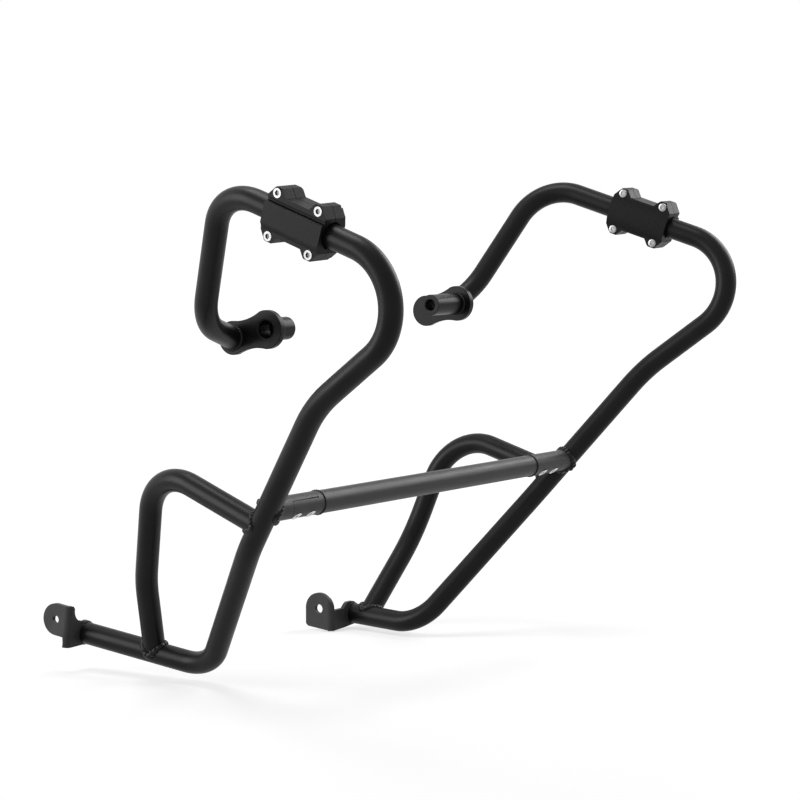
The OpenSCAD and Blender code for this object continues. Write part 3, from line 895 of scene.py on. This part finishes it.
@dataclass
class CrossTube:
    """The cross tube, its two bolted joints and their welds."""

    halves: tuple[BarHalf, BarHalf]
    wardrobe: Wardrobe
    joint_start: float = 0.020
    joint_length: float = 0.064
    socket_flats: float = 0.004
    head_rise: float = 0.0016
    head_reach: float = 0.0065
    groove: float = 0.0007
    seam_length: float = 0.01
    seam_degrees: float = 40.0
    skin_slack: float = 0.0001
    floor_slack: float = 0.0002
    joint_edge: float = 0.0003
    head_edge: float = 0.0002
    pad_rise: float = 0.0009
    socket_bead: Pair = (0.0042, 0.0038)
    tongue_bead: float = 0.0013

    def _groove(self, root: Vector, inboard: Vector) -> Reshape:
        """Breaks the long edges where the joint's halves meet, which leaves a groove there.

        Args:
            root: The joint's axis at the main tube.
            inboard: The joint's direction.

        Returns:
            A function that grooves one half's mesh.
        """

        def on_skin(point: Vector) -> bool:
            """Tells whether a point lies on the joint's round skin.

            Args:
                point: The point.

            Returns:
                True where it does.
            """
            offset = point - root
            across = (offset - inboard * offset.dot(inboard)).length
            return abs(across - TUBE_RADIUS) < self.skin_slack

        def cut(bm: bmesh.types.BMesh) -> None:
            """Breaks the long sharp edges that lie on the skin.

            Args:
                bm: The joint half's mesh.
            """
            seams = [
                e for e in bm.edges
                if e.is_manifold and e.calc_length() > self.seam_length
                and e.calc_face_angle(0.0) > math.radians(self.seam_degrees)
                and on_skin(e.verts[0].co) and on_skin(e.verts[1].co)
            ]
            LOG.info("joint half has %d long seams", len(seams))
            break_edges(bm, seams, self.groove, 1, clamp=False)

        return cut

    def _raised_heads(self, node: str) -> Reshape:
        """Lifts a joint's screw heads out of their seats until their faces show.

        Args:
            node: The CAD node that holds the screws.

        Returns:
            What is done to the copy's mesh.
        """
        floors = socket_floors(node, self.socket_flats)

        def lift(bm: bmesh.types.BMesh) -> None:
            """Moves the heads and their sockets outward along the screws.

            Args:
                bm: The screws' mesh.
            """
            for vert in bm.verts:
                for centre, normal in floors:
                    offset = vert.co - centre
                    height = offset.dot(normal)
                    across = (offset - normal * height).length
                    if height > -self.floor_slack and across < self.head_reach:
                        vert.co += normal * self.head_rise
                        break

        return lift

    def build(self) -> None:
        """Dresses the tube and joints and lays their beads."""
        ends = [half.cross_end for half in self.halves]
        reach = self.joint_start + self.joint_length
        for half, other in (self.halves, self.halves[::-1]):
            inboard = (other.cross_end - half.cross_end).normalized()
            for part in ("joint_socket", "joint_tongue"):
                piece = softened_copy(
                    half.name(part), half.name(part + "_soft"), self.joint_edge,
                    reshape=self._groove(half.cross_end, inboard),
                )
                self.wardrobe.dress(piece, JOINT_COAT, Slot.JOINT)
            node = half.name("joint_screws")
            screws = softened_copy(
                node, half.name("joint_screws_soft"), self.head_edge,
                reshape=self._raised_heads(node),
            )
            # The joint screws wear the lighter copy of the screw steel: painted light.
            self.wardrobe.dress(screws, JOINT_SCREW_LIT_STEEL, Slot.SCREW)
            # Dark pads in the sockets: painted shade for the shadow inside them.
            shades = socket_shades(
                node, half.name("joint_screws_floors"), self.socket_flats, self.pad_rise,
                -self.head_rise,
            )
            if shades:
                self.wardrobe.dress(shades, SOCKET_PAINTED_SHADE, Slot.SCREW)
            main_way = (half.elbow - half.knee).normalized()
            at_socket = WeldBead(
                half.name("socket_weld"), half.cross_end, inboard, TUBE_RADIUS,
                tube_surface(half.knee, main_way, TUBE_RADIUS, inboard), *self.socket_bead,
            )
            tongue_end = half.cross_end + inboard * reach
            at_tongue = WeldBead(
                half.name("tongue_weld"), tongue_end, inboard, TUBE_RADIUS,
                plate_surface(tongue_end, inboard, inboard), self.tongue_bead,
            )
            for bead in (at_socket, at_tongue):
                self.wardrobe.dress(bead.build(), WELD_COAT, Slot.JOINT)
            LOG.info("%s joint dressed", half.side.value)
        across = (ends[1] - ends[0]).normalized() * reach
        tube = BentTube("cross_tube_straight", [ends[0] + across, ends[1] - across], []).build()
        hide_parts("cross_tube")
        # The cross tube wears the lighter copy of the tube coat: painted light.
        self.wardrobe.dress(tube, CROSS_TUBE_LIT_COAT, Slot.TUBE)
        LOG.info("cross tube dressed")


@dataclass
class ClampBlock:
    """A block of two shells that clamps round the upper run, with its screws and nuts."""

    half: BarHalf
    wardrobe: Wardrobe
    behind_nose: float
    roll: float
    screw_along: float = 0.027
    screw_across: float = 0.0225
    head_seat: float = 0.014
    head_seat_radius: Pair = (0.0058, 0.00545)
    head_sink: float = 0.0036
    nut_seat: float = 0.013
    nut_seat_radius: Pair = (0.006374, 0.0053)
    nut_radius: float = 0.0049
    nut_height: float = 0.0026
    nut_sides: int = 40
    nut_edge: float = 0.0004
    nut_lip: float = 0.0019
    nut_socket_wall: float = 0.0001
    nut_socket_depth: float = 0.0009
    half_length: float = 0.038
    half_height: float = 0.0285
    chamfer_up: float = 0.0105
    chamfer_along: float = 0.0080
    shell_edge: float = 0.0006
    head_edge: float = 0.0004
    head_clear: float = 0.001
    shank_short: float = 0.0010
    socket_flats: float = 0.005
    pad_rise: float = 0.0015
    seat_slack: float = 0.00002
    side_slack: float = 0.00003
    rim_slack: float = 0.00004
    breach_left: float = 0.02

    def _directions(self) -> tuple[Vector, Vector, Vector, Vector]:
        """Works out how the block lies on the tube.

        Returns:
            The block's centre, and its directions along the tube, up and outboard.
        """
        sign = float(self.half.side.sign)
        centre = toward(self.half.nose, self.half.crown, self.behind_nose)
        run = (self.half.nose - self.half.crown).normalized() * -sign
        level = aside(Vector((sign, 0.0, 0.0)), run)
        tilt = math.radians(self.roll)
        out = level * math.cos(tilt) - level.cross(run) * math.sin(tilt)
        return centre, run, out.cross(run), out

    def _screw_places(self) -> list[tuple[float, float]]:
        """Where the four screws stand, along the tube and up."""
        return [(x * self.screw_along, y * self.screw_across) for x in (1, -1) for y in (1, -1)]

    def _draw_in(
        self, bm: bmesh.types.BMesh, beyond: float, way: int, radius: Pair
    ) -> None:
        """Narrows the round seats of one shell, so that its ears close round the fasteners.

        A point where a seat breaks out of the ear's side or chamfer slides along that face instead,
        until almost nothing of the breach is left.

        Args:
            bm: The shell's mesh.
            beyond: The seats' depth from the tube's axis.
            way: 1 for the outer shell's seats and -1 for the inner one's.
            radius: The seats' radius before and after.
        """
        centre, run, up, out = self._directions()
        corner = Vector((self.half_length, self.half_height - self.chamfer_up))
        slope = Vector((self.chamfer_up, self.chamfer_along)).normalized()
        moved = 0
        for vert in bm.verts:
            local = vert.co - centre
            if local.dot(out) * way < beyond - self.seat_slack:
                continue
            here = Vector((local.dot(run), local.dot(up)))
            for spot in self._screw_places():
                screw = Vector(spot)
                reach = here - screw
                if abs(reach.length - radius[0]) > self.rim_slack:
                    continue
                mirrored = Vector((abs(here.x), abs(here.y)))
                sign = Vector((math.copysign(1.0, here.x), math.copysign(1.0, here.y)))
                if mirrored.y > self.half_height - self.side_slack:
                    foot = Vector((screw.x, here.y))
                    goal = foot + (here - foot) * self.breach_left
                elif abs((mirrored - corner).dot(slope)) < self.side_slack:
                    middle = Vector((abs(screw.x), abs(screw.y)))
                    foot = middle + slope * (corner - middle).dot(slope)
                    foot = Vector((foot.x * sign.x, foot.y * sign.y))
                    goal = foot + (here - foot) * self.breach_left
                else:
                    goal = screw + reach.normalized() * radius[1]
                shift = goal - here
                vert.co += run * shift.x + up * shift.y
                moved += 1
                break
        LOG.info("%s block: %d seat points drawn in", self.half.side.value, moved)

    def _narrow_head_seats(self, bm: bmesh.types.BMesh) -> None:
        """Closes the outer shell's ears round the screw heads."""
        self._draw_in(bm, self.head_seat, 1, self.head_seat_radius)

    def _narrow_nut_seats(self, bm: bmesh.types.BMesh) -> None:
        """Closes the inner shell's ears round the nuts."""
        self._draw_in(bm, self.nut_seat, -1, self.nut_seat_radius)

    def _sink_heads(self, bm: bmesh.types.BMesh) -> None:
        """Lowers the screw heads until they lie flush with the ears, and trims the shanks.

        Args:
            bm: The screws' mesh.
        """
        centre, _, _, out = self._directions()
        trimmed = self.nut_seat + self.nut_height - self.shank_short
        for vert in bm.verts:
            height = (vert.co - centre).dot(out)
            if height > self.head_seat + self.head_clear:
                vert.co -= out * self.head_sink
            elif height < -trimmed:
                vert.co -= out * (height + trimmed)

    def _round_nuts(self) -> bpy.types.Object:
        """Turns four round nuts with a shallow socket and seats them in the inner shell.

        Returns:
            The nuts' object.
        """
        centre, run, up, out = self._directions()
        bm = bmesh.new()
        for x, y in self._screw_places():
            middle = centre + run * x + up * y - out * (self.nut_seat + self.nut_height / 2)
            add_slug(bm, middle, -out, self.nut_radius, self.nut_height, self.nut_sides)

        def tops() -> list[bmesh.types.BMFace]:
            """The nuts' round outer faces."""
            return [f for f in bm.faces if len(f.verts) > 4 and f.normal.dot(out) < -0.9]

        bm.normal_update()
        rims = list({e for f in tops() for e in f.edges})
        break_edges(bm, rims, self.nut_edge, 2)
        caps = tops()
        bmesh.ops.inset_individual(bm, faces=caps, thickness=self.nut_lip, depth=0.0)
        bmesh.ops.inset_individual(
            bm, faces=caps, thickness=self.nut_socket_wall, depth=-self.nut_socket_depth
        )
        return to_object(bm, self.half.name("block_nuts_round"))

    def build(self) -> None:
        """Dresses the shells and their fasteners."""
        for part, reshape in (
            ("block_outer", self._narrow_head_seats), ("block_inner", self._narrow_nut_seats),
        ):
            name = self.half.name(part)
            shell = softened_copy(name, name + "_soft", self.shell_edge, 3, reshape)
            self.wardrobe.dress(shell, BLOCK_FINISH, Slot.BLOCK)
        screws = self.half.name("block_screws")
        heads = softened_copy(
            screws, screws + "_soft", self.head_edge, reshape=self._sink_heads
        )
        self.wardrobe.dress(heads, SCREW_STEEL, Slot.SCREW)
        # Dark pads in the sockets: painted shade for the shadow inside them.
        floors = socket_shades(
            screws, screws + "_floors", self.socket_flats, self.pad_rise, self.head_sink
        )
        if floors:
            self.wardrobe.dress(floors, SOCKET_PAINTED_SHADE, Slot.SCREW)
        nuts = self._round_nuts()
        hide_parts(self.half.name("block_nuts"))
        self.wardrobe.dress(nuts, NUT_STEEL, Slot.SCREW)
        LOG.info("%s block dressed", self.half.side.value)


# ---- Studio


@dataclass(frozen=True)
class Softbox:
    """A square lamp: its name, place and side in metres, and its power in watts."""

    name: str
    spot: tuple[float, float, float]
    size: float
    power: float


@dataclass
class Studio:
    """A pale floor, soft light from all round and from three softboxes, and the camera."""

    eye: tuple[float, float, float] = (-2.14161, -1.900383, 0.478353)
    azimuth: float = -56.12
    elevation: float = 4.68
    lens: float = 115.27
    sensor: float = 36.0
    clip: Pair = (0.1, 200.0)
    floor_reach: float = 40.0
    floor_drop: float = 0.001
    floor_shade: float = 0.35
    near_glow: float = 0.62
    glow_fade: Pair = (0.8, 3.5)
    world_light: float = 0.28
    aim: tuple[float, float, float] = (0.24, -0.25, 0.2)
    softboxes: tuple[Softbox, ...] = (
        Softbox("overhead_softbox", (0.0, 0.1, 2.0), 0.9, 20.0),
        Softbox("left_softbox", (-1.6, 1.4, 0.8), 1.5, 46.0),
        Softbox("right_softbox", (2.1, -1.0, 1.5), 1.5, 42.0),
    )

    def build(self) -> None:
        """Sets up the floor, light and camera."""
        self._floor()
        self._world()
        self._lamps()
        self._camera()
        bpy.context.scene.view_settings.view_transform = "Standard"

    @staticmethod
    def _combine(
        tree: bpy.types.NodeTree, operation: str, first: bpy.types.NodeSocket,
        second: bpy.types.NodeSocket,
    ) -> bpy.types.NodeSocket:
        """Adds a node that makes one value of two.

        Args:
            tree: The node tree.
            operation: What the node does, as Blender names it.
            first: The first value.
            second: The second value.

        Returns:
            The socket of the new value.
        """
        node = tree.nodes.new("ShaderNodeMath")
        node.operation = operation
        tree.links.new(first, node.inputs[0])
        tree.links.new(second, node.inputs[1])
        return node.outputs[0]

    def _seen(self, tree: bpy.types.NodeTree) -> bpy.types.NodeSocket:
        """Tells the rays that come straight from the camera or by way of gloss or glass.

        Args:
            tree: The node tree that asks.

        Returns:
            The socket that is 1 for such rays and 0 for others.
        """
        path = tree.nodes.new("ShaderNodeLightPath").outputs
        plain = self._combine(tree, "MAXIMUM", path["Is Camera Ray"], path["Is Glossy Ray"])
        return self._combine(tree, "MAXIMUM", plain, path["Is Transmission Ray"])

    def _floor(self) -> None:
        """Lays a wide floor just under the object, with less glow near it to show its shadow."""
        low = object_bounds()[0].z
        bm = bmesh.new()
        bmesh.ops.create_grid(
            bm, x_segments=1, y_segments=1, size=self.floor_reach,
            matrix=Matrix.Translation((0.0, 0.0, low - self.floor_drop)),
        )
        mesh = bpy.data.meshes.new("floor")
        bm.to_mesh(mesh)
        bm.free()
        floor = bpy.data.objects.new("floor", mesh)
        bpy.context.scene.collection.objects.link(floor)
        floor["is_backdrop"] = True
        material = bpy.data.materials.new("pale_floor")
        material.use_nodes = True
        tree = material.node_tree
        tree.nodes.remove(tree.nodes["Principled BSDF"])
        matte = tree.nodes.new("ShaderNodeBsdfDiffuse")
        matte.inputs["Color"].default_value = (*[self.floor_shade] * 3, 1.0)
        glow = tree.nodes.new("ShaderNodeEmission")
        glow.inputs["Color"].default_value = WHITE
        coords = tree.nodes.new("ShaderNodeTexCoord")
        away = tree.nodes.new("ShaderNodeVectorMath")
        away.operation = "LENGTH"
        tree.links.new(coords.outputs["Object"], away.inputs[0])
        fade = map_range(tree, away.outputs["Value"], self.glow_fade, (self.near_glow, 1.0))
        strength = self._combine(tree, "MULTIPLY", self._seen(tree), fade)
        tree.links.new(strength, glow.inputs["Strength"])
        both = tree.nodes.new("ShaderNodeAddShader")
        tree.links.new(matte.outputs[0], both.inputs[0])
        tree.links.new(glow.outputs[0], both.inputs[1])
        tree.links.new(both.outputs[0], tree.nodes["Material Output"].inputs["Surface"])
        mesh.materials.append(material)

    def _world(self) -> None:
        """Makes the surroundings white to the eye and a soft light to the object."""
        world = bpy.data.worlds.new("studio")
        bpy.context.scene.world = world
        world.use_nodes = True
        tree = world.node_tree
        back = tree.nodes["Background"]
        back.inputs["Color"].default_value = WHITE
        level = map_range(tree, self._seen(tree), (0.0, 1.0), (self.world_light, 1.0))
        tree.links.new(level, back.inputs["Strength"])

    def _lamps(self) -> None:
        """Sets up the softboxes and turns them to the object."""
        for box in self.softboxes:
            data = bpy.data.lights.new(box.name, "AREA")
            data.shape = "SQUARE"
            data.size = box.size
            data.energy = box.power
            lamp = bpy.data.objects.new(box.name, data)
            lamp.location = box.spot
            lamp.rotation_mode = "QUATERNION"
            way = Vector(self.aim) - Vector(box.spot)
            lamp.rotation_quaternion = way.to_track_quat("-Z", "Y")
            bpy.context.scene.collection.objects.link(lamp)

    def _camera(self) -> None:
        """Puts the camera where the photograph was taken from."""
        data = bpy.data.cameras.new("camera")
        data.lens = self.lens
        data.sensor_width = self.sensor
        data.clip_start, data.clip_end = self.clip
        camera = bpy.data.objects.new("camera", data)
        a, e = math.radians(self.azimuth), math.radians(self.elevation)
        back = Vector((math.sin(a) * math.cos(e), -math.cos(a) * math.cos(e), math.sin(e)))
        camera.location = self.eye
        camera.rotation_mode = "QUATERNION"
        camera.rotation_quaternion = (-back).to_track_quat("-Z", "Y")
        bpy.context.scene.collection.objects.link(camera)
        bpy.context.scene.camera = camera


def halves(wardrobe: Wardrobe) -> tuple[BarHalf, BarHalf]:
    """The right and left halves with their own routes.

    Args:
        wardrobe: Where their finishes come from.

    Returns:
        The right half, then the left one.
    """
    right = BarHalf(
        Side.RIGHT, wardrobe,
        mount_end=place(-194, -195.5, 337.5), shoulder=place(-270, -216, 357),
        crown=place(-343, -299, 501), nose=place(-358, -578, 403), elbow=place(-337, -409, 283),
        knee=place(-289, -290, 126), heel=place(-206, -173, -23), low_end=place(-212, 0, 0),
        loop_top=place(-280, -156, 207), loop_leg=place(-235, -107, 70),
        loop_above_knee=0.035, loop_ahead_of_end=0.098, cross_above_knee=0.057,
        plate_span=0.046, bracket_tilt=7.6,
    )
    left = BarHalf(
        Side.LEFT, wardrobe,
        mount_end=place(221, -177.5, 350.5), shoulder=place(276, -197, 363),
        crown=place(342, -265, 506), nose=place(371, -575, 406), elbow=place(334, -413, 281),
        knee=place(265, -298, 125), heel=place(173, -194, -27), low_end=place(185, -89, -24),
        loop_top=place(298, -162, 199), loop_leg=place(261, -128, 67),
        loop_above_knee=0.040, loop_ahead_of_end=0.024, cross_above_knee=0.062,
        plate_span=0.0445, bracket_tilt=0.0,
    )
    return right, left


def main() -> None:
    """Builds the crash bars in order, then the studio."""
    logging.basicConfig(level=logging.INFO, format="%(message)s")
    wardrobe = Wardrobe()
    right, left = halves(wardrobe)
    for half in (right, left):
        half.build()
    CrossTube((right, left), wardrobe).build()
    ClampBlock(right, wardrobe, behind_nose=0.1855, roll=4.5).build()
    ClampBlock(left, wardrobe, behind_nose=0.1865, roll=0.0).build()
    Studio().build()
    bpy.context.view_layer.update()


if __name__ == "__main__":
    main()
